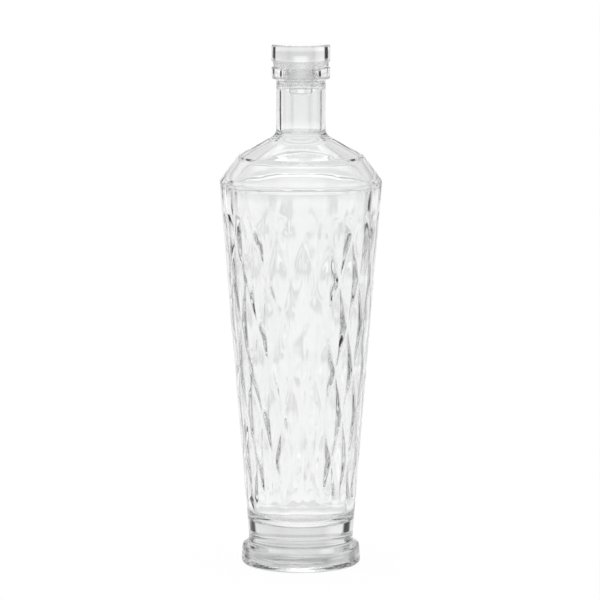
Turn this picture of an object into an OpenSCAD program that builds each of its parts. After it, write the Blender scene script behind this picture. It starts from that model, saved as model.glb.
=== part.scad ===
// Decanter bottle of clear moulded glass, closed by a glass stopper in a ribbed polymer sleeve.
// Millimetres, +Z up. The origin is the centre of the resting plane, on the axis of the neck.
// Heights are stacked from the resting plane: foot, cove, band, cut body, shoulder, neck, lip.

/* [Foot] */
// Widest radius of the foot, just above the resting plane
foot_r = 31.4; // [30.5:0.1:36]
// Radius of the foot at its top edge
foot_top_r = 30.8; // [29.5:0.1:34]
// Height of the top edge of the foot
foot_h = 9.6; // [7:0.1:14]
// How much narrower the foot is on the resting plane
foot_draft = 0.1; // [0.1:0.1:0.6]
// Height of the widest level of the foot
foot_wide_h = 2.4; // [2:0.1:4]
// Rounding of the resting edge
foot_edge = 1.6; // [0.6:0.1:1.8]
// Rounding of the top edge of the foot
foot_top_edge = 1.2; // [0.4:0.1:1.8]
// Radius of the shallow recess under the base
punt_r = 22; // [12:0.5:26]
// Depth of the shallow recess under the base
punt_depth = 1.6; // [0.6:0.1:3]
// Rounding of the rim of the recess
punt_edge = 0.4; // [0.1:0.1:0.8]

/* [Band] */
// Height from the top edge of the foot to the foot of the plain band
cove_h = 4.2; // [3:0.1:7]
// Height of the steep upper part of the cove
cove_upper_h = 1.9; // [1:0.1:2.4]
// How far that upper part still narrows
cove_run = 0.4; // [0.1:0.1:1]
// Rounding inside the cove
cove_round = 1; // [0.3:0.1:1.4]
// Rounding between the cove and the band
waist_round = 0.6; // [0.2:0.1:1]
// Radius of the plain band at its lower end
waist_r = 27.45; // [25.5:0.05:29]
// Radius of the plain band where the cut pattern stands on it
band_r = 28.95; // [27.5:0.05:29.2]
// Height of the plain band
band_h = 20.6; // [12:0.1:30]

/* [Diamond cutting] */
// Radius over the ridges of the cut pattern at its lower end
cut_bottom_r = 29.2; // [29.2:0.05:31]
// Radius over the ridges of the cut pattern at its upper end
cut_top_r = 42.6; // [38:0.1:48]
// Diamonds round the body, in each row
cut_columns = 16; // [12:1:24]
// Half diamonds stacked up the body
cut_half_rows = 7; // [3:1:9]
// Full height of one diamond
diamond_h = 47.8; // [36:0.1:52]
// How far the middle of a diamond is sunk below the line between its upper and lower corners
diamond_sink = 0.2; // [0.1:0.02:1]
// How far the lowest ridge crossings lie below the top of the band
cut_drop = 0.8; // [0.5:0.1:1.5]
// Height of the chamfer that leads from the band out to the ridges
cut_chamfer = 2; // [1:0.1:3]
// How far the round blank stands outside the ridges of the pattern
blank_margin = 0.05; // [0.02:0.01:0.3]

/* [Shoulder] */
// Height from the cut pattern to the sharp corner of the shoulder
corner_h = 1.7; // [1:0.1:4]
// Height of the steep lower slope of the shoulder
lower_slope_h = 13.5; // [9:0.1:20]
// Radius of the edge between the two slopes of the shoulder
edge_r = 32.6; // [26:0.1:36]
// Height of the flat upper slope, from that edge to the line of the neck
upper_slope_h = 11.1; // [8:0.1:18]
// Rounding of the widest corner
corner_round = 4.5; // [0.5:0.1:6]
// Rounding of the edge between the slopes
edge_round = 1.6; // [0.5:0.1:3]

/* [Neck and lip] */
// Outer radius of the neck
neck_r = 12.9; // [12.5:0.1:14]
// Length of the neck, from the line of the upper slope to the lip
neck_h = 28.9; // [22:0.1:40]
// Blend between neck and shoulder
neck_blend = 4.6; // [1:0.1:6]
// Radius of the lip
lip_r = 15.3; // [14.4:0.1:17]
// Height of the lip
lip_h = 6.2; // [4:0.1:9]
// How much narrower the lip is at its lower edge
lip_draft = 0.15; // [0.05:0.05:0.5]
// Rounding of the edges of the lip
lip_edge = 0.6; // [0.2:0.1:1.2]
// Rounding under the lip
lip_root = 0.5; // [0.2:0.1:1]
// Diameter of the sealing bore in the lip
seal_bore_d = 18.5; // [18:0.1:19.6]
// Length of the sealing bore
seal_bore_h = 7.6; // [7:0.1:9]
// Diameter of the bore of the neck below the sealing bore
neck_bore_d = 20.8; // [20:0.1:21.4]

/* [Cavity] */
// Glass under the cavity, measured from the resting plane
floor_z = 22; // [16:0.5:30]
// Wall of the cut body at the floor, measured from the ridges
body_wall = 4.2; // [4:0.1:7]
// Wall of the cut body at the shoulder, measured from the ridges
body_top_wall = 6; // [4:0.1:8]
// Wall of the shoulder, measured square to its slopes
shoulder_wall = 6; // [3:0.1:7]
// Rounding between the floor and the wall of the cavity
floor_round = 8; // [4:0.5:12]
// Rounding inside the shoulder
inner_round = 5; // [2:0.5:8]
// Rounding from the shoulder into the bore of the neck
throat_round = 8; // [1:0.5:10]

/* [Stopper] */
// Radius of the glass head
head_r = 15.3; // [14.6:0.1:18]
// Height of the glass head
head_h = 8.9; // [6:0.1:16]
// Rounding of the edges of the head
head_edge = 0.7; // [0.3:0.1:2]
// Diameter of the glass shank
shank_d = 12.4; // [9:0.1:13]
// How far the shank stands out below the sleeve
shank_tip = 6.4; // [2:0.1:12]
// Rounding of the end of the shank
tip_round = 2.2; // [0.5:0.1:4]

/* [Sleeve] */
// Radius of the flange between the lip and the head
flange_r = 14.4; // [13:0.1:14.5]
// Thickness of the flange
flange_t = 2.6; // [1:0.1:4]
// Outer radius of the tube that carries the fins
tube_r = 7.9; // [7.5:0.1:8.4]
// Length of the tube below the flange
tube_h = 8.6; // [8:0.1:14]
// Number of sealing fins
fin_count = 3; // [2:1:3]
// Thickness of a fin at its rim
fin_t = 0.7; // [0.4:0.05:0.9]
// Rise of a fin from its rim to the tube
fin_rise = 0.6; // [0.2:0.05:0.8]
// Plain end of the tube below the first fin
fin_start = 1; // [0.5:0.1:1.4]
// Rounding of the edges of the flange and the tube
sleeve_edge = 0.3; // [0.1:0.1:0.6]

/* [Clearances] */
// Radial clearance of the fins in the sealing bore
fin_clearance = 0.05; // [0.02:0.01:0.1]
// Radial clearance of the shank in the sleeve
shank_clearance = 0.05; // [0.02:0.01:0.1]

/* [Hidden] */

$fn = 96;
ARC_STEP = 9;            // degrees turned by one chord of a rounded corner
CUT_OVERLAP = 1;         // how far a cut runs past the solid that it opens
CUT_ROOT = 0.3;          // how far the foot of the cut pattern starts inside the band
HALF_TURN = 180;

// Levels, from the resting plane upwards
band_z = foot_h + cove_h;
rim_z = band_z + band_h;
cut_z = rim_z - cut_drop;
cut_top_z = cut_z + cut_half_rows * diamond_h / 2;
corner_z = cut_top_z + corner_h;
edge_z = corner_z + lower_slope_h;
neck_z = edge_z + upper_slope_h;
lip_z = neck_z + neck_h;
glass_h = lip_z + lip_h;
head_z = glass_h + flange_t;
tube_z = glass_h - tube_h;

// The cone that holds every ridge crossing of the pattern
cut_taper = (cut_top_r - cut_bottom_r) / (cut_top_z - cut_z);
function ridge_r(z) = cut_bottom_r + cut_taper * (z - cut_z);
function middle_r(z) = ridge_r(z) - diamond_sink;
corner_r = ridge_r(corner_z) + blank_margin;

seal_bore_r = seal_bore_d / 2;
neck_bore_r = neck_bore_d / 2;
bore_step = neck_bore_r - seal_bore_r;
bore_step_z = glass_h - seal_bore_h;
fin_r = seal_bore_r - fin_clearance;
fin_root = fin_t + fin_rise;
fin_pitch = (tube_h - fin_start) / fin_count;
tip_z = tube_z - shank_tip;

// Joins points [r, z, rounding] into an outline whose corners are turned by arcs
function unit(v) = v / norm(v);
function turn_between(a, b) = acos(max(-1, min(1, a * b)));
function rounded_corner(before, at, after) =
    let (
        corner = [at[0], at[1]],
        to_before = unit([before[0], before[1]] - corner),
        to_after = unit([after[0], after[1]] - corner),
        opening = turn_between(to_before, to_after),
        radius = at[2]
    )
    radius == 0 || opening > 179 ? [corner] :
    let (
        centre = corner + unit(to_before + to_after) * radius / sin(opening / 2),
        first = corner + to_before * radius / tan(opening / 2) - centre,
        last = corner + to_after * radius / tan(opening / 2) - centre,
        swept = 180 - opening,
        steps = max(1, ceil(swept / ARC_STEP))
    )
    [for (i = [0:steps])
        let (t = i / steps)
        centre + (sin((1 - t) * swept) * first + sin(t * swept) * last) / sin(swept)];
function rounded_path(points) =
    let (n = len(points))
    [for (i = [0:n - 1])
        for (p = rounded_corner(points[(i + n - 1) % n], points[i], points[(i + 1) % n])) p];

// The inner face of a wall whose outer face runs upwards from a to b, and the point
// where two such faces, each given by two points, would meet
function inside_of(a, b, wall) =
    let (along = unit(b - a), inward = wall * [-along[1], along[0]])
    [a + inward, b + inward];
function meeting(p, q) =
    let (
        u = p[1] - p[0],
        v = q[1] - q[0],
        w = q[0] - p[0]
    )
    p[0] + u * (w[0] * v[1] - w[1] * v[0]) / (u[0] * v[1] - u[1] * v[0]);

// A solid of revolution from the points [r, z, rounding] of one half of its section
module turned(points) {
    rotate_extrude() polygon(rounded_path(points));
}

// Foot, cove and plain band, up to the foot of the cut pattern
module base() {
    turned([
        [0, punt_depth, 0],
        [punt_r, punt_depth, 0],
        [punt_r + punt_depth, 0, punt_edge],
        [foot_r - foot_draft, 0, foot_edge],
        [foot_r, foot_wide_h, 0],
        [foot_top_r, foot_h, foot_top_edge],
        [waist_r + cove_run, band_z - cove_upper_h, cove_round],
        [waist_r, band_z, waist_round],
        [band_r, rim_z, 0],
        [0, rim_z, 0]
    ]);
}

// Round blank of the cut body with the shoulder, the neck and the lip above it
module blank() {
    chamfer_top_z = rim_z + cut_chamfer;
    turned([
        [0, rim_z - cut_drop / 2, 0],
        [band_r - CUT_ROOT, rim_z - cut_drop / 2, 0],
        [band_r - blank_margin, rim_z, 0],
        [ridge_r(chamfer_top_z) + blank_margin, chamfer_top_z, 0],
        [corner_r, corner_z, corner_round],
        [edge_r, edge_z, edge_round],
        [neck_r, neck_z, neck_blend],
        [neck_r, lip_z, lip_root],
        [lip_r - lip_draft, lip_z, lip_edge],
        [lip_r, glass_h, lip_edge],
        [0, glass_h, 0]
    ]);
}

// Everything above this level of the blank keeps its round form
module above_cut() {
    translate([0, 0, edge_z - lower_slope_h / 3])
        cylinder(r = cut_top_r * 1.2, h = glass_h);
}

// One solid with the sunken diamonds all round it: rings of ridge crossings and
// sunken middles take turns, and a crossing stands between two middles of its ring
module diamonds() {
    rings = cut_half_rows + 2;
    points_per_ring = 2 * cut_columns;
    function level(i) = i == 0 ? cut_z - cut_drop : cut_z + (i - 1) * diamond_h / 2;
    function is_crossing(i, k) = (i + k) % 2 == 1;
    function radius(i, k) =
        i == 0 ? min(band_r - CUT_ROOT, middle_r(cut_z)) :
        is_crossing(i, k) ? ridge_r(level(i)) : middle_r(level(i));
    function angle(k) = -90 + k * HALF_TURN / cut_columns;
    function index(i, k) = i * points_per_ring + (k + points_per_ring) % points_per_ring;
    corners = [for (i = [0:rings]) for (k = [0:points_per_ring - 1])
        let (r = radius(i, k), a = angle(k))
        [r * cos(a), r * sin(a), level(i)]];
    // Each cell between two rings is split along its ridge, from crossing to crossing
    sides = [for (i = [0:rings - 1]) for (k = [0:points_per_ring - 1])
        let (
            a = index(i, k), b = index(i, k + 1),
            c = index(i + 1, k + 1), d = index(i + 1, k)
        )
        each (is_crossing(i, k) ? [[a, c, b], [a, d, c]] : [[a, d, b], [b, d, c]])];
    bottom = [[for (k = [0:points_per_ring - 1]) index(0, k)]];
    top = [[for (k = [points_per_ring - 1:-1:0]) index(rings, k)]];
    polyhedron(points = corners, faces = concat(bottom, top, sides));
}

// The space for the liquid, up through the neck and the sealing bore of the lip
module cavity() {
    body = [[ridge_r(floor_z) - body_wall, floor_z], [ridge_r(corner_z) - body_top_wall, corner_z]];
    lower_slope = inside_of([corner_r, corner_z], [edge_r, edge_z], shoulder_wall);
    upper_slope = inside_of([edge_r, edge_z], [neck_r, neck_z], shoulder_wall);
    neck = [[neck_bore_r, neck_z], [neck_bore_r, lip_z]];
    turned([
        [0, floor_z, 0],
        [body[0][0], floor_z, floor_round],
        concat(meeting(body, lower_slope), inner_round),
        concat(meeting(lower_slope, upper_slope), inner_round),
        concat(meeting(upper_slope, neck), throat_round),
        [neck_bore_r, bore_step_z - bore_step, 0],
        [seal_bore_r, bore_step_z, 0],
        [seal_bore_r, glass_h - lip_edge, 0],
        [seal_bore_r + lip_edge, glass_h, 0],
        [seal_bore_r + lip_edge, glass_h + CUT_OVERLAP, 0],
        [0, glass_h + CUT_OVERLAP, 0]
    ]);
}

module bottle() {
    color([0.93, 0.95, 0.95, 0.45])
    difference() {
        union() {
            base();
            intersection() {
                blank();
                union() {
                    diamonds();
                    above_cut();
                }
            }
        }
        cavity();
    }
}

// Tube with its flange on top and the fins below it, bored for the shank
module seal_sleeve() {
    color([0.9, 0.91, 0.9, 0.8])
    difference() {
        union() {
            turned([
                [0, tube_z, 0],
                [tube_r, tube_z, sleeve_edge],
                [tube_r, glass_h, 0],
                [flange_r, glass_h, sleeve_edge],
                [flange_r, head_z, sleeve_edge],
                [0, head_z, 0]
            ]);
            for (i = [0:fin_count - 1])
                translate([0, 0, tube_z + fin_start + i * fin_pitch])
                    turned([
                        [0, 0, 0],
                        [tube_r, 0, 0],
                        [fin_r, fin_rise, 0],
                        [fin_r, fin_root, 0],
                        [tube_r, fin_root, 0],
                        [0, fin_root, 0]
                    ]);
        }
        translate([0, 0, tube_z - CUT_OVERLAP])
            cylinder(d = shank_d + 2 * shank_clearance, h = tube_h + flange_t + 2 * CUT_OVERLAP);
    }
}

// Disc head on a plain shank with a rounded end
module stopper() {
    color([0.93, 0.95, 0.95, 0.6])
    union() {
        turned([
            [0, head_z, 0],
            [head_r, head_z, head_edge],
            [head_r, head_z + head_h, head_edge],
            [0, head_z + head_h, 0]
        ]);
        translate([0, 0, tip_z + tip_round])
            cylinder(d = shank_d, h = head_z - tip_z - tip_round + CUT_OVERLAP);
        turned([
            [0, tip_z, 0],
            [shank_d / 2, tip_z, tip_round],
            [shank_d / 2, tip_z + 2 * tip_round, 0],
            [0, tip_z + 2 * tip_round, 0]
        ]);
    }
}

bottle();
seal_sleeve();
stopper();
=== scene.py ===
"""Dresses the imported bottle: clear moulded glass, a solid glass stopper and its translucent ribbed sleeve."""

import functools
import math

import bpy
import numpy as np
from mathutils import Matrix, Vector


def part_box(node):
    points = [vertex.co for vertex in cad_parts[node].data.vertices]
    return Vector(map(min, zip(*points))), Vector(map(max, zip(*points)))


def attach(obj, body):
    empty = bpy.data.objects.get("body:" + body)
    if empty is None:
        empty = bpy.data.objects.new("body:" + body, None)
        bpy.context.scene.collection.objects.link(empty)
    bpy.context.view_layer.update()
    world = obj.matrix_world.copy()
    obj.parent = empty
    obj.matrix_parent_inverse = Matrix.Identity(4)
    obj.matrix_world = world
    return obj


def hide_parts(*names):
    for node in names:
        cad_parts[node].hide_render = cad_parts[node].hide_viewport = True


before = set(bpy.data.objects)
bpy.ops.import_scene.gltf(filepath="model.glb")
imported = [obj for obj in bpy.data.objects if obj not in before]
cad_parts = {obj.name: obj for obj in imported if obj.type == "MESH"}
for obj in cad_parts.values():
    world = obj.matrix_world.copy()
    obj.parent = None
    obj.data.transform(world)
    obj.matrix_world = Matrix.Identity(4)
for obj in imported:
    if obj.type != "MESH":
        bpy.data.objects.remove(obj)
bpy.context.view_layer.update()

MM = 0.001
BODY = {"bottle": "bottle", "seal_sleeve": "sleeve", "stopper": "stopper"}

# ---------------------------------------------------------------- sizes, in millimetres
# Foot and plain band
FOOT_R = 31.4
FOOT_TOP_R = 30.8
FOOT_H = 9.6
FOOT_DRAFT = 0.1
FOOT_WIDE_H = 2.4
FOOT_EDGE = 1.6
FOOT_TOP_EDGE = 1.2
PUNT_R = 22.0
PUNT_DEPTH = 1.6
PUNT_EDGE = 0.4
PUNT_ROUND = 0.8
COVE_UPPER_H = 1.9
COVE_RUN = 0.4
COVE_ROUND = 1.0
BAND_Z = 13.8
BAND_H = 20.6
WAIST_R = 27.45
WAIST_ROUND = 0.6
BAND_R = 28.95
RIM_Z = BAND_Z + BAND_H

# Cut body: rows of diamonds between these levels, on a cone
CUT_DROP = 0.8
CUT_CHAMFER = 2.0
CUT_BOTTOM_R = 29.2
CUT_TOP_R = 42.6
CUT_COLUMNS = 16
CUT_HALF_ROWS = 7
HALF_DIAMOND_H = 23.9
DIAMOND_SINK = 0.2
BLANK_MARGIN = 0.05
CUT_Z = RIM_Z - CUT_DROP
CUT_TOP_Z = CUT_Z + CUT_HALF_ROWS * HALF_DIAMOND_H
CUT_TAPER = (CUT_TOP_R - CUT_BOTTOM_R) / (CUT_TOP_Z - CUT_Z)

# Shoulder, neck and lip
CORNER_H = 1.7
CORNER_Z = CUT_TOP_Z + CORNER_H
CORNER_ROUND = 4.5
EDGE_R = 32.6
LOWER_SLOPE_H = 13.5
EDGE_Z = CORNER_Z + LOWER_SLOPE_H
EDGE_ROUND = 1.6
UPPER_SLOPE_H = 11.1
NECK_Z = EDGE_Z + UPPER_SLOPE_H
NECK_R = 12.9
NECK_BLEND = 4.6
GLASS_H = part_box("bottle")[1].z / MM
LIP_H = 6.2
LIP_Z = GLASS_H - LIP_H
LIP_R = 15.3
LIP_DRAFT = 0.15
LIP_EDGE = 0.6
LIP_ROOT = 0.5

# Cavity
FLOOR_Z = 22.0
BODY_WALL = 4.2
BODY_TOP_WALL = 6.0
SHOULDER_WALL = 6.0
FLOOR_ROUND = 8.0
INNER_ROUND = 5.0
THROAT_ROUND = 8.0
SEAL_BORE_R = 9.25
SEAL_BORE_H = 7.6
SEAL_BORE_ROUND = 0.3
NECK_BORE_R = 10.4
NECK_BORE_ROUND = 0.4
BORE_STEP_Z = GLASS_H - SEAL_BORE_H

# Unevenness of the blown inner wall: a lens behind each diamond, and long waves.
# The turns are how often each wave repeats round the bottle
INNER_LENS = 1.4
LENS_VARIES = 0.4
LENS_LIMITS = (0.2, 2.2)
LENS_SEED = 11
LENS_TURNS = (1, 2, 3, 5, 7)
INNER_WAVES = 0.25
WAVE_SEED = 7
WAVE_TURNS = (3, 5, 8, 11, 14, 19, 26)
WAVE_CLIMB = 3
WAVE_PITCHES = (30, 110)
SHOULDER_WAVES = 0.05
SHOULDER_TURNS = (2, 3, 5, 8, 13)
RELIEF_FADE = 12
RELIEF_GAP = 14  # plain wall left above the floor
SHOULDER_FADE = 6
THROAT_FADE = 8

# Stopper and sleeve
STOPPER_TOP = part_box("stopper")[1].z / MM
HEAD_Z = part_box("seal_sleeve")[1].z / MM
TIP_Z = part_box("stopper")[0].z / MM
TUBE_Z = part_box("seal_sleeve")[0].z / MM
HEAD_R = 15.3
HEAD_EDGE = 0.7
TIP_ROUND = 2.2
SHANK_R = 6.2
SHANK_ROOT = 0.2
SLEEVE_BORE_R = 6.25
TUBE_R = 7.9
FIN_R = 9.2
FIN_T = 0.7
FIN_RISE = 0.6
FIN_START = 1.0
FIN_COUNT = 3
FIN_EDGE = 0.1
FLANGE_R = 14.4
SLEEVE_EDGE = 0.3
SLEEVE_BORE_EDGE = 0.15
SLEEVE_ROOT = 0.2
SLEEVE_SEAM = 2.0  # height above the lower end of the tube where the closed outline starts
SLEEVE_SEAM_H = 0.5

# Fineness of the meshes
CELL_STEPS = 10
COLUMNS = 2 * CUT_COLUMNS * CELL_STEPS
ARC_CHORD = 0.7
BASE_STEP = 6
WALL_STEP = 4
PLAIN_STEP = 3
CHAMFER_STEPS = 6
CORNER_BELOW = 4
CORNER_STEP = 0.35
CORNER_STEPS = 24
LEVEL_GAP = 0.1
EDGE_MARGIN = 4  # how far inside the shoulder's edge the blank is still followed
POLE_R = 0.5
STOPPER_POLE_R = 0.3
ROUND_OFF = 1e-9
FILM = 0.02  # air left between pieces that rest on each other


# ---------------------------------------------------------------- outlines
def rounded(points):
    """The open outline through points (r, z, rounding), with each rounded corner turned by an arc."""
    out = []
    for i, (r, z, rounding) in enumerate(points):
        at = np.array([r, z])
        if rounding == 0 or i in (0, len(points) - 1):
            out.append(at)
            continue
        back = np.array(points[i - 1][:2]) - at
        ahead = np.array(points[i + 1][:2]) - at
        back /= np.linalg.norm(back)
        ahead /= np.linalg.norm(ahead)
        opening = math.acos(float(np.clip(back @ ahead, -1, 1)))
        middle = (back + ahead) / np.linalg.norm(back + ahead)
        centre = at + middle * rounding / math.sin(opening / 2)
        reach = rounding / math.tan(opening / 2)
        first = at + back * reach - centre
        last = at + ahead * reach - centre
        swept = math.pi - opening
        steps = max(2, math.ceil(swept * rounding / ARC_CHORD))
        for k in range(steps + 1):
            t = k / steps
            turned = math.sin((1 - t) * swept) * first + math.sin(t * swept) * last
            out.append(centre + turned / math.sin(swept))
    return out


def spaced(outline, longest):
    """The outline with long stretches divided, so that no step is over longest."""
    out = [outline[0]]
    for a, b in zip(outline[:-1], outline[1:]):
        steps = max(1, math.ceil(np.linalg.norm(b - a) / longest))
        out += [a + (b - a) * k / steps for k in range(1, steps + 1)]
    return out


def ridge_r(z):
    """Radius over the ridge crossings of the cut pattern at height z."""
    return CUT_BOTTOM_R + CUT_TAPER * (z - CUT_Z)


def middle_r(z):
    """Radius at the sunken middle of a diamond whose middle is at height z."""
    return ridge_r(z) - DIAMOND_SINK


def inside_of(a, b, wall):
    """The inner face of a wall whose outer face runs upwards from a to b."""
    a, b = np.array(a), np.array(b)
    along = (b - a) / np.linalg.norm(b - a)
    inward = wall * np.array([-along[1], along[0]])
    return a + inward, b + inward


def meeting(p, q):
    """Where two lines, each given by two points, cross."""
    u, v, w = np.array(p[1]) - p[0], np.array(q[1]) - q[0], np.array(q[0]) - p[0]
    return np.array(p[0]) + u * (w[0] * v[1] - w[1] * v[0]) / (u[0] * v[1] - u[1] * v[0])


def diamonds(z):
    """The cut pattern at height z, for each column of the mesh: 0 on the ridges, 1 in the middles."""
    level = math.floor((z - CUT_Z) / HALF_DIAMOND_H)
    up = (z - CUT_Z) / HALF_DIAMOND_H - level
    column = np.arange(COLUMNS) // CELL_STEPS
    across = np.arange(COLUMNS) % CELL_STEPS / CELL_STEPS
    return np.where((level + column) % 2 == 0, np.abs(across - up), np.abs(1 - across - up))


def waves(z, seed, turns):
    """Smooth unevenness of the blown wall at height z, mostly from -1 to 1, for each column of the mesh."""
    angle = np.arange(COLUMNS) * 2 * math.pi / COLUMNS
    rng = np.random.default_rng(seed)
    total = np.zeros(COLUMNS)
    for count in turns:
        phase = rng.uniform(0, 2 * math.pi)
        climb = rng.uniform(-WAVE_CLIMB, WAVE_CLIMB)
        pitch = rng.uniform(*WAVE_PITCHES)
        total += np.sin(count * angle + phase + climb * math.sin(2 * math.pi * z / pitch))
    return total / math.sqrt(len(turns))


def inner_relief(z):
    """How far the inner wall stands off its plain cone at height z, for each column of the mesh."""
    share = np.clip(min((z - CUT_Z) / RELIEF_FADE, (CUT_TOP_Z - RELIEF_FADE - z) / RELIEF_FADE), 0, 1)
    inward = diamonds(z)
    lens = 0.5 * np.sin(math.pi / 2 * inward) ** 2 + 0.5 * inward - 0.5
    depth = INNER_LENS * np.clip(1 + LENS_VARIES * waves(z, LENS_SEED, LENS_TURNS), *LENS_LIMITS)
    return share * (depth * lens + INNER_WAVES * waves(z, WAVE_SEED, WAVE_TURNS))


def shoulder_relief(r, z):
    """The same inside the shoulder. It dies away at the body and at the neck."""
    share = np.clip(min((z - CUT_TOP_Z + RELIEF_FADE) / SHOULDER_FADE, (r - NECK_BORE_R) / THROAT_FADE), 0, 1)
    return share * SHOULDER_WAVES * waves(z, WAVE_SEED, SHOULDER_TURNS)


def corner_point(level, column):
    """The lattice point of the cut pattern on a half-row level and a half-column."""
    z = CUT_Z + level * HALF_DIAMOND_H
    radius = ridge_r(z) if (level + column) % 2 == 0 else middle_r(z)
    angle = column * math.pi / CUT_COLUMNS
    return np.array([radius * math.cos(angle), radius * math.sin(angle), z])


def cut_r(z):
    """Radii of the cut body at height z, one for each column of the mesh."""
    level = min(max(math.floor((z - CUT_Z) / HALF_DIAMOND_H + ROUND_OFF), 0), CUT_HALF_ROWS)
    up = (z - CUT_Z) / HALF_DIAMOND_H - level
    radii = []
    for step in range(COLUMNS):
        column, across = step // CELL_STEPS, (step % CELL_STEPS) / CELL_STEPS
        low_left, low_right = corner_point(level, column), corner_point(level, column + 1)
        top_left, top_right = corner_point(level + 1, column), corner_point(level + 1, column + 1)
        if (level + column) % 2 == 0:  # the ridge climbs to the right
            plane = (low_left, low_right, top_right) if across > up else (low_left, top_right, top_left)
        else:  # the ridge climbs to the left
            plane = (low_left, low_right, top_left) if across + up < 1 else (low_right, top_right, top_left)
        normal = np.cross(plane[1] - plane[0], plane[2] - plane[0])
        angle = (column + across) * math.pi / CUT_COLUMNS
        facing = normal[0] * math.cos(angle) + normal[1] * math.sin(angle)
        radii.append((normal @ plane[0] - normal[2] * z) / facing)
    return np.array(radii)


# ---------------------------------------------------------------- meshes
def ring(radii, z):
    """One ring of the mesh. The pattern's first column faces -Y."""
    angles = np.arange(COLUMNS) * 2 * math.pi / COLUMNS - math.pi / 2
    radii = np.broadcast_to(radii, COLUMNS)
    return np.stack([radii * np.cos(angles), radii * np.sin(angles), np.full(COLUMNS, z)], axis=1)


def ring_mesh(name, rings, closed_loop=False):
    """A mesh object over rings of points. The first and last ring are closed by a pole, or joined."""
    rows = len(rings)
    points = np.concatenate(rings)
    row, column = np.meshgrid(np.arange(rows if closed_loop else rows - 1), np.arange(COLUMNS), indexing="ij")
    beside = (column + 1) % COLUMNS
    above = (row + 1) % rows
    below_left, below_right = row * COLUMNS + column, row * COLUMNS + beside
    above_left, above_right = above * COLUMNS + column, above * COLUMNS + beside
    faces = np.stack([below_left, below_right, above_right, above_left], axis=-1).reshape(-1, 4).tolist()
    if not closed_loop:
        start, end = len(points), len(points) + 1
        points = np.concatenate([points, [[0, 0, rings[0][0][2]], [0, 0, rings[-1][0][2]]]])
        last = (rows - 1) * COLUMNS
        for c in range(COLUMNS):
            faces.append([start, (c + 1) % COLUMNS, c])
            faces.append([end, last + c, last + (c + 1) % COLUMNS])
    mesh = bpy.data.meshes.new(name)
    mesh.from_pydata((points * MM).tolist(), [], faces)
    mesh.validate()
    mesh.polygons.foreach_set("use_smooth", [True] * len(mesh.polygons))
    piece = bpy.data.objects.new(name, mesh)
    bpy.context.scene.collection.objects.link(piece)
    return piece


def dress(piece, node, material):
    """Puts piece in place of a CAD node, on that node's body, with its material."""
    piece.data.materials.append(material)
    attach(piece, BODY[node])
    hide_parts(node)
    return piece


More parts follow.
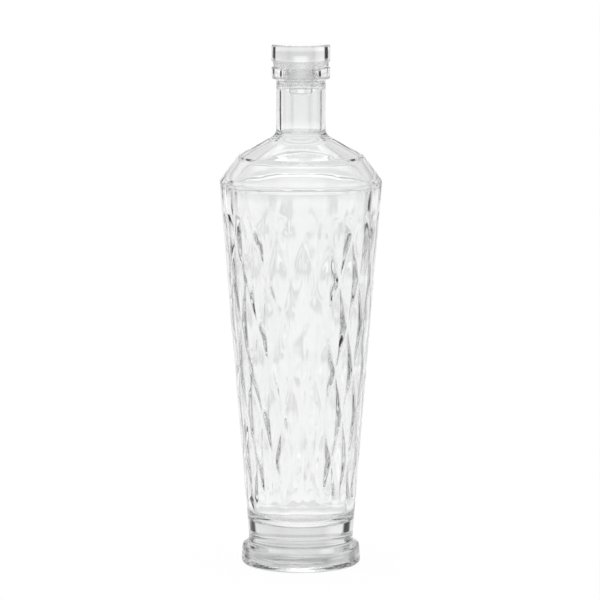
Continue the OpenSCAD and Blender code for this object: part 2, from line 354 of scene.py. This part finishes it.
def bottle_rings():
    """Rings over the outside of the bottle, over its lip and down into the cavity."""
    corner = (ridge_r(CORNER_Z) + BLANK_MARGIN, CORNER_Z)
    base = rounded([
        (POLE_R, PUNT_DEPTH, 0),
        (PUNT_R, PUNT_DEPTH, PUNT_ROUND),
        (PUNT_R + PUNT_DEPTH, 0, PUNT_EDGE),
        (FOOT_R - FOOT_DRAFT, 0, FOOT_EDGE),
        (FOOT_R, FOOT_WIDE_H, 0),
        (FOOT_TOP_R, FOOT_H, FOOT_TOP_EDGE),
        (WAIST_R + COVE_RUN, BAND_Z - COVE_UPPER_H, COVE_ROUND),
        (WAIST_R, BAND_Z, WAIST_ROUND),
        (BAND_R, RIM_Z, 0),
    ])
    blank = rounded([
        (BAND_R, RIM_Z, 0),
        (ridge_r(RIM_Z + CUT_CHAMFER) + BLANK_MARGIN, RIM_Z + CUT_CHAMFER, 0),
        (*corner, CORNER_ROUND),
        (EDGE_R, EDGE_Z, EDGE_ROUND),
        (NECK_R, NECK_Z, NECK_BLEND),
        (NECK_R, LIP_Z, LIP_ROOT),
        (LIP_R - LIP_DRAFT, LIP_Z, LIP_EDGE),
        (LIP_R, GLASS_H, LIP_EDGE),
        (SEAL_BORE_R + LIP_EDGE, GLASS_H, SEAL_BORE_ROUND),
        (SEAL_BORE_R, GLASS_H - LIP_EDGE, SEAL_BORE_ROUND),
        (SEAL_BORE_R, BORE_STEP_Z, NECK_BORE_ROUND),
        (NECK_BORE_R, BORE_STEP_Z - (NECK_BORE_R - SEAL_BORE_R), 0),
    ])
    body = (ridge_r(FLOOR_Z) - BODY_WALL, FLOOR_Z), (ridge_r(CORNER_Z) - BODY_TOP_WALL, CORNER_Z)
    lower = inside_of(corner, (EDGE_R, EDGE_Z), SHOULDER_WALL)
    upper = inside_of((EDGE_R, EDGE_Z), (NECK_R, NECK_Z), SHOULDER_WALL)
    neck = (NECK_BORE_R, NECK_Z), (NECK_BORE_R, LIP_Z)
    cavity = rounded([
        (NECK_BORE_R, BORE_STEP_Z - (NECK_BORE_R - SEAL_BORE_R), 0),
        (*meeting(upper, neck), THROAT_ROUND),
        (*meeting(lower, upper), INNER_ROUND),
        (*meeting(body, lower), INNER_ROUND),
        (*body[0], FLOOR_ROUND),
        (POLE_R, FLOOR_Z, 0),
    ])
    blank_r, blank_z = np.array([p for p in blank if p[0] > EDGE_R - EDGE_MARGIN or p[1] < CUT_TOP_Z]).T
    levels = {CUT_Z + k * HALF_DIAMOND_H / CELL_STEPS for k in range(1, CUT_HALF_ROWS * CELL_STEPS)}
    levels |= {RIM_Z + k * CUT_CHAMFER / CHAMFER_STEPS for k in range(CHAMFER_STEPS + 1)}
    levels |= {CORNER_Z - CORNER_BELOW + k * CORNER_STEP for k in range(CORNER_STEPS)}
    levels = [z for z in sorted(levels) if z >= RIM_Z - ROUND_OFF]
    body_wall = [z for z in levels if FLOOR_Z + RELIEF_GAP < z < CUT_TOP_Z - RELIEF_FADE]
    inside = spaced(cavity, WALL_STEP)[1:]
    high = [p for p in inside if p[1] > body_wall[-1]]
    low = [p for p in inside if p[1] < body_wall[0]]
    (low_r, low_z), (high_r, high_z) = low[0], high[-1]

    rings = [ring(r, z) for r, z in spaced(base, BASE_STEP)[:-1]]
    rings += [ring(np.minimum(soft(cut_r(z)), np.interp(z, blank_z, blank_r)), z) for z in levels]
    rings += [ring(r, z) for r, z in spaced(blank, WALL_STEP) if z > levels[-1] + LEVEL_GAP]
    rings += [ring(r + shoulder_relief(r, z), z) for r, z in high]
    for z in reversed(body_wall):
        rings.append(ring(np.interp(z, (low_z, high_z), (low_r, high_r)) + inner_relief(z), z))
    rings += [ring(r, z) for r, z in low]
    return rings


def soft(radii):
    """The ridges of the cut pattern, slightly melted."""
    return (np.roll(radii, 1) + 2 * radii + np.roll(radii, -1)) / 4


def plain_rings(outline):
    """Rings over a plain outline of revolution."""
    return [ring(r, z) for r, z in spaced(rounded(outline), PLAIN_STEP)]


def sleeve_outline():
    """The sleeve: bore, tube with its fins, and flange, as one closed loop."""
    pitch = (GLASS_H - TUBE_Z - FIN_START) / FIN_COUNT
    points = [
        (SLEEVE_BORE_R, TUBE_Z + SLEEVE_SEAM, 0),
        (SLEEVE_BORE_R, TUBE_Z, SLEEVE_BORE_EDGE),
        (TUBE_R, TUBE_Z, SLEEVE_EDGE),
    ]
    for i in range(FIN_COUNT):
        z = TUBE_Z + FIN_START + i * pitch
        root = z + FIN_RISE + FIN_T
        fin = (TUBE_R, z), (FIN_R, z + FIN_RISE), (FIN_R, root), (TUBE_R, root)
        points += [(*corner, FIN_EDGE) for corner in fin]
    points += [
        (TUBE_R, GLASS_H + FILM, SLEEVE_ROOT),
        (FLANGE_R, GLASS_H + FILM, SLEEVE_EDGE),
        (FLANGE_R, HEAD_Z - FILM, SLEEVE_EDGE),
        (SLEEVE_BORE_R, HEAD_Z - FILM, SLEEVE_BORE_EDGE),
        (SLEEVE_BORE_R, TUBE_Z + SLEEVE_SEAM + SLEEVE_SEAM_H, 0),
    ]
    return points


def stopper_outline():
    """The stopper: rounded tip, shank and disc head."""
    return [
        (STOPPER_POLE_R, TIP_Z, 0),
        (SHANK_R, TIP_Z, TIP_ROUND),
        (SHANK_R, HEAD_Z, SHANK_ROOT),
        (HEAD_R, HEAD_Z, HEAD_EDGE),
        (HEAD_R, STOPPER_TOP, HEAD_EDGE),
        (STOPPER_POLE_R, STOPPER_TOP, 0),
    ]


# ---------------------------------------------------------------- materials
GLASS_TINT = (0.99, 0.993, 0.992)
GLASS_IOR = 1.5
ABSORPTION = 11.0  # per metre of glass, about halved by the colour below
DEPTH_COLOUR = (0.5, 0.505, 0.503)
HAZE_SCALE = 35
HAZE_NOISE = (0.5, 0.75)
HAZE_ROUGHNESS = (0, 0.012)
WAVE_DETAIL = 1.5
BOTTLE_WAVES = 0.12
BOTTLE_WAVE_SCALE = 70
STOPPER_WAVES = 0.01
STOPPER_WAVE_SCALE = 120
STREAK_SCALE = 30.0
STREAK_FLATNESS = 14.0
STREAK_DEPTH = 0.6
STREAK_FADE = 2
POLYMER_TINT = (0.99, 0.992, 0.99)
POLYMER_IOR = 1.25  # lower than a real polymer's 1.5, and picked for the looks of the sleeve
GRAIN_SCALE = 420
GRAIN_DEPTH = 0.003
GRAIN_NOISE = (0.3, 0.7)
GRAIN_ROUGHNESS = (0.22, 0.34)


def math_node(tree, operation, a, b=None):
    """A math node over a and b, which are numbers or sockets."""
    node = tree.nodes.new("ShaderNodeMath")
    node.operation = operation
    for socket, value in zip(node.inputs, (a, b)):
        if value is None:
            continue
        if isinstance(value, (int, float)):
            socket.default_value = value
        else:
            tree.links.new(value, socket)
    return node.outputs[0]


def range_node(tree, value, source, target):
    """Maps a socket's value from the source range to the target range."""
    node = tree.nodes.new("ShaderNodeMapRange")
    tree.links.new(value, node.inputs["Value"])
    for name, number in zip(("From Min", "From Max", "To Min", "To Max"), (*source, *target)):
        node.inputs[name].default_value = number
    return node.outputs[0]


def noise_node(tree, place, scale, detail, flatness=1.0):
    """Noise in the object's own space, flattened along its height."""
    flatten = tree.nodes.new("ShaderNodeMapping")
    flatten.inputs["Scale"].default_value = (1, 1, flatness)
    tree.links.new(place, flatten.inputs["Vector"])
    noise = tree.nodes.new("ShaderNodeTexNoise")
    noise.inputs["Scale"].default_value = scale
    noise.inputs["Detail"].default_value = detail
    tree.links.new(flatten.outputs[0], noise.inputs["Vector"])
    return noise.outputs["Fac"]


def bump_node(tree, height):
    """A bump whose height is in millimetres, for the shader's normal."""
    bump = tree.nodes.new("ShaderNodeBump")
    bump.inputs["Distance"].default_value = MM
    tree.links.new(height, bump.inputs["Height"])
    tree.links.new(bump.outputs["Normal"], tree.nodes["Principled BSDF"].inputs["Normal"])


def clear_material(name, tint, ior):
    """A material that light passes through, with its node tree and its place in the object's own space."""
    material = bpy.data.materials.new(name)
    material.use_nodes = True
    tree = material.node_tree
    shader = tree.nodes["Principled BSDF"]
    shader.inputs["Base Color"].default_value = (*tint, 1)
    shader.inputs["Transmission Weight"].default_value = 1.0
    shader.inputs["IOR"].default_value = ior
    return material, tree, tree.nodes.new("ShaderNodeTexCoord").outputs["Object"]


def glass(name, waviness, wave_scale, streaked=False):
    """Clear glass with faint waves and haze, and level streaks in the foot of a piece that was pressed."""
    material, tree, place = clear_material(name, GLASS_TINT, GLASS_IOR)
    depth = tree.nodes.new("ShaderNodeVolumeAbsorption")
    depth.inputs["Color"].default_value = (*DEPTH_COLOUR, 1)
    depth.inputs["Density"].default_value = ABSORPTION
    tree.links.new(depth.outputs[0], tree.nodes["Material Output"].inputs["Volume"])
    haze = range_node(tree, noise_node(tree, place, HAZE_SCALE, 2), HAZE_NOISE, HAZE_ROUGHNESS)
    tree.links.new(haze, tree.nodes["Principled BSDF"].inputs["Roughness"])
    height = math_node(tree, "MULTIPLY", noise_node(tree, place, wave_scale, WAVE_DETAIL), waviness)
    if streaked:
        split = tree.nodes.new("ShaderNodeSeparateXYZ")
        tree.links.new(place, split.inputs[0])
        fade = ((FOOT_H + STREAK_FADE) * MM, (FOOT_H - STREAK_FADE) * MM)
        share = range_node(tree, split.outputs["Z"], fade, (0, STREAK_DEPTH))
        streaks = noise_node(tree, place, STREAK_SCALE, 2, STREAK_FLATNESS)
        height = math_node(tree, "ADD", height, math_node(tree, "MULTIPLY", streaks, share))
    bump_node(tree, height)
    return material


def polymer(name):
    """Soft translucent polymer, slightly milky, with an uneven moulded surface."""
    material, tree, place = clear_material(name, POLYMER_TINT, POLYMER_IOR)
    grain = noise_node(tree, place, GRAIN_SCALE, 2)
    roughness = range_node(tree, grain, GRAIN_NOISE, GRAIN_ROUGHNESS)
    tree.links.new(roughness, tree.nodes["Principled BSDF"].inputs["Roughness"])
    bump_node(tree, math_node(tree, "MULTIPLY", grain, GRAIN_DEPTH))
    return material


# ---------------------------------------------------------------- studio
CAMERA_TURN = 2.1
CAMERA_DISTANCE = 1.850
CAMERA_H = 0.403
CAMERA_PITCH = 8.1
FOCAL_PX = 3560.0
FRAME_PX = 600.0
AXIS_PX = 300.9
SENSOR_MM = 36.0
FAR_M = 100


def set_camera():
    """Puts the camera at the photograph's viewing angle."""
    data = bpy.data.cameras.new("camera")
    data.sensor_width = SENSOR_MM
    data.lens = FOCAL_PX / FRAME_PX * data.sensor_width
    data.clip_end = FAR_M
    camera = bpy.data.objects.new("camera", data)
    bpy.context.scene.collection.objects.link(camera)
    turn = math.radians(CAMERA_TURN)
    yaw = math.atan((AXIS_PX - FRAME_PX / 2) / FOCAL_PX)
    camera.location = (-CAMERA_DISTANCE * math.sin(turn), -CAMERA_DISTANCE * math.cos(turn), CAMERA_H)
    camera.rotation_euler = (math.radians(90 - CAMERA_PITCH), 0, -turn + yaw)
    bpy.context.scene.camera = camera


# Brightness by azimuth, in degrees from straight behind the bottle to the camera's right, and by elevation.
# A white tent stands round the bottle. Near each of its corners stands a low black flag, and the tent shows
# above and below it
FLAG_EDGE = 4
FLAGS = [(-139, -126), (-57, -44), (51, 67), (124, 137)]
FLAGGED = [
    (at, share)
    for left, right in FLAGS
    for at, share in ((left - FLAG_EDGE, 0), (left, 1), (right, 1), (right + FLAG_EDGE, 0))
]
TENT_AROUND = [
    (-180, 0.98), (-143, 1.0), (-139, 0), (-126, 0), (-122, 1.04), (-61, 1.04), (-57, 0), (-44, 0),
    (-40, 1.1), (-26, 1.1), (-18, 0.94), (0, 0.98), (18, 0.94), (47, 1.0),
    (51, 0), (67, 0), (71, 1.04), (120, 1.04), (124, 0), (137, 0), (141, 1.0), (180, 0.98),
]
TENT_UP = [
    (-45, 0), (-28, 0.82), (-15, 0.82), (-13.5, 1.02), (-8, 1.04), (-6.3, 0.98), (-5.2, 0.88),
    (-3.8, 0.82), (-2.6, 0.86), (3, 0.9), (5, 0.98), (8.5, 0.58), (12, 0.58), (17, 0.9), (38, 0.8),
    (60, 1.3), (90, 2.6),
]
PAST_FLAGS_UP = [
    (-45, 0), (-28, 0.5), (-14, 0.5), (-12, 0), (2, 0), (5, 0.5),
    (14, 0.6), (20, 0.9), (38, 0.9), (60, 1.3), (90, 2.6),
]
# A glow behind the bottle, and the white table under it
GLOW_AROUND = [(-12, 0), (-6, 1), (6, 1), (12, 0)]
GLOW_UP = [(-3.5, 0), (-1.5, 0.24), (4, 0.24), (9, 0)]
TABLE_AROUND = [(-180, 1), (180, 1)]
TABLE_UP = [(-45, 1.1), (-28, 0)]
FULL_RAMP = 4  # brightness that white on a ramp stands for

FLOOR_SIZE = 12
FLOOR_DROP = 0.00005
FLOOR_WHITE = (0.95, 0.95, 0.95)
FLOOR_ROUGHNESS = 0.9
FLOOR_GLOW = 0.95  # share of plain white in what the camera sees of the floor; the rest takes the shadow

GLASS_BOUNCES = 40
GLOSSY_BOUNCES = 24


def ramp_node(tree, value, low, high, stops):
    """A brightness that follows stops (input, brightness) between low and high."""
    ramp = tree.nodes.new("ShaderNodeValToRGB")
    share = math_node(tree, "DIVIDE", math_node(tree, "SUBTRACT", value, low), high - low)
    tree.links.new(share, ramp.inputs[0])
    elements = ramp.color_ramp.elements
    while len(elements) > 1:
        elements.remove(elements[-1])
    for k, (at, brightness) in enumerate(stops):
        place = (at - low) / (high - low)
        element = elements[0] if k == 0 else elements.new(place)
        element.position = place
        grey = brightness / FULL_RAMP
        element.color = (grey, grey, grey, 1)
    return math_node(tree, "MULTIPLY", ramp.outputs[0], FULL_RAMP)


def product_node(tree, around, elevation, turn, up):
    """The brightness at a direction: what turn gives round the bottle, times what up gives by elevation."""
    level = ramp_node(tree, around, -180, 180, turn)
    return math_node(tree, "MULTIPLY", level, ramp_node(tree, elevation, -90, 90, up))


def set_world():
    """A white background for the camera. Glass sees a white tent with black flags."""
    world = bpy.data.worlds.new("studio")
    bpy.context.scene.world = world
    world.use_nodes = True
    tree = world.node_tree
    tree.nodes.clear()
    out = tree.nodes.new("ShaderNodeOutputWorld")
    place = tree.nodes.new("ShaderNodeTexCoord")
    split = tree.nodes.new("ShaderNodeSeparateXYZ")
    tree.links.new(place.outputs["Generated"], split.inputs[0])
    azimuth = math_node(tree, "ARCTAN2", split.outputs["X"], split.outputs["Y"])
    turned = math_node(tree, "SUBTRACT", math_node(tree, "DEGREES", azimuth), CAMERA_TURN)
    around = math_node(tree, "WRAP", turned, 180)
    around.node.inputs[2].default_value = -180
    elevation = math_node(tree, "DEGREES", math_node(tree, "ARCSINE", split.outputs["Z"]))
    parts = [
        product_node(tree, around, elevation, turn, up)
        for turn, up in (
            (TENT_AROUND, TENT_UP),
            (FLAGGED, PAST_FLAGS_UP),
            (GLOW_AROUND, GLOW_UP),
            (TABLE_AROUND, TABLE_UP),
        )
    ]
    brightness = functools.reduce(lambda a, b: math_node(tree, "ADD", a, b), parts)
    light = tree.nodes.new("ShaderNodeBackground")
    tree.links.new(brightness, light.inputs["Color"])
    seen = tree.nodes.new("ShaderNodeBackground")
    seen.inputs["Color"].default_value = (1, 1, 1, 1)
    path = tree.nodes.new("ShaderNodeLightPath")
    mix = tree.nodes.new("ShaderNodeMixShader")
    tree.links.new(path.outputs["Is Camera Ray"], mix.inputs[0])
    tree.links.new(light.outputs[0], mix.inputs[1])
    tree.links.new(seen.outputs[0], mix.inputs[2])
    tree.links.new(mix.outputs[0], out.inputs[0])


def set_floor():
    """A wide white floor that keeps a faint shadow. Rays through glass see the studio in its place."""
    bpy.ops.mesh.primitive_plane_add(size=FLOOR_SIZE, location=(0, 0, -FLOOR_DROP))
    floor = bpy.context.object
    floor.name = "floor"
    material = bpy.data.materials.new("floor_white")
    material.use_nodes = True
    tree = material.node_tree
    shader = tree.nodes["Principled BSDF"]
    shader.inputs["Base Color"].default_value = (*FLOOR_WHITE, 1)
    shader.inputs["Roughness"].default_value = FLOOR_ROUGHNESS
    glow = tree.nodes.new("ShaderNodeEmission")
    glow.inputs["Color"].default_value = (1, 1, 1, 1)
    glow.inputs["Strength"].default_value = 1.0
    path = tree.nodes.new("ShaderNodeLightPath")
    seen = tree.nodes.new("ShaderNodeMixShader")
    tree.links.new(math_node(tree, "MULTIPLY", path.outputs["Is Camera Ray"], FLOOR_GLOW), seen.inputs[0])
    tree.links.new(shader.outputs[0], seen.inputs[1])
    tree.links.new(glow.outputs[0], seen.inputs[2])
    clear = tree.nodes.new("ShaderNodeBsdfTransparent")
    through = math_node(tree, "MAXIMUM", path.outputs["Is Transmission Ray"], path.outputs["Is Glossy Ray"])
    mix = tree.nodes.new("ShaderNodeMixShader")
    tree.links.new(through, mix.inputs[0])
    tree.links.new(seen.outputs[0], mix.inputs[1])
    tree.links.new(clear.outputs[0], mix.inputs[2])
    tree.links.new(mix.outputs[0], tree.nodes["Material Output"].inputs["Surface"])
    floor.data.materials.append(material)


def set_render():
    """Plain colours, and enough bounces for light to get through the glass."""
    scene = bpy.context.scene
    scene.view_settings.view_transform = "Standard"
    scene.cycles.max_bounces = GLASS_BOUNCES
    scene.cycles.transmission_bounces = GLASS_BOUNCES
    scene.cycles.glossy_bounces = GLOSSY_BOUNCES
    scene.cycles.use_denoising = True


set_camera()
set_world()
set_floor()
set_render()
dress(
    ring_mesh("bottle_glass", bottle_rings()),
    "bottle",
    glass("bottle_glass", BOTTLE_WAVES, BOTTLE_WAVE_SCALE, streaked=True),
)
dress(
    ring_mesh("stopper_glass", plain_rings(stopper_outline())),
    "stopper",
    glass("stopper_glass", STOPPER_WAVES, STOPPER_WAVE_SCALE),
)
dress(
    ring_mesh("sleeve_ribbed", plain_rings(sleeve_outline()), closed_loop=True),
    "seal_sleeve",
    polymer("sleeve_polymer"),
)
